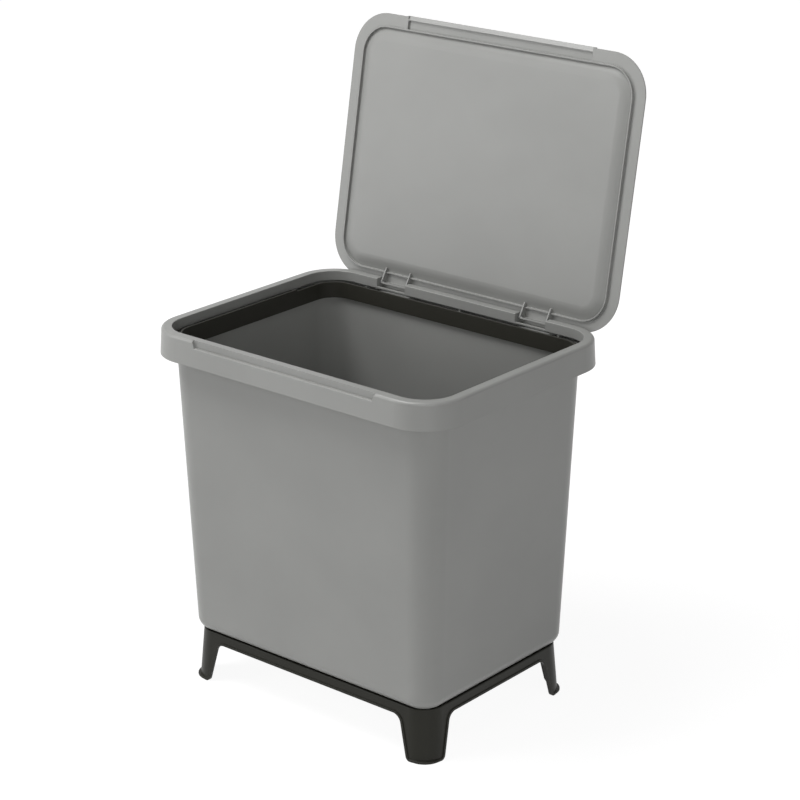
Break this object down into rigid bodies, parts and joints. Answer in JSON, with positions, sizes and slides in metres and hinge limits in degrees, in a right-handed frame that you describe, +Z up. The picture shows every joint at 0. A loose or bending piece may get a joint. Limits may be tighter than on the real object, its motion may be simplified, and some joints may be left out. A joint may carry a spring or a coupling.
{
  "type": "recycling bin",
  "caption": "Rectangular kitchen recycling bin: tapered tub, clip-on rim frame with a bag ring, lid hinged at the back with a front grip, and a stand on splayed corner legs.",
  "frame": {"origin": "on the floor under the middle of the tub", "axes": "+Z up, +X to the right along the front, -Y out of the front; the lid is hinged at the back, +Y, and stands open"},
  "size_m": [0.4032, 0.3616, 0.7028],
  "materials": {
    "tub_plastic": "fine satin grain",
    "rim_plastic": "fine satin grain",
    "ring_plastic": "matt black",
    "lid_plastic": "fine satin grain",
    "stand_plastic": "matt black",
    "steel": "plain zinc-plated steel"
  },
  "bodies": {
    "bin": {"tub": "tub_plastic", "rim_frame": "rim_plastic", "bag_ring": "ring_plastic", "stand": "stand_plastic", "stand_screws": "steel", "hinge_pin_left_outer": "steel", "hinge_pin_left_inner": "steel", "hinge_pin_right_inner": "steel", "hinge_pin_right_outer": "steel"},
    "lid": {"lid": "lid_plastic"}
  },
  "joints": [
    {"name": "lid_hinge", "type": "hinge", "parent": "bin", "child": "lid", "pos_m": [0, 0.147, 0.40867], "axis": [1, 0, 0], "range_deg": [0, 100]}
  ]
}
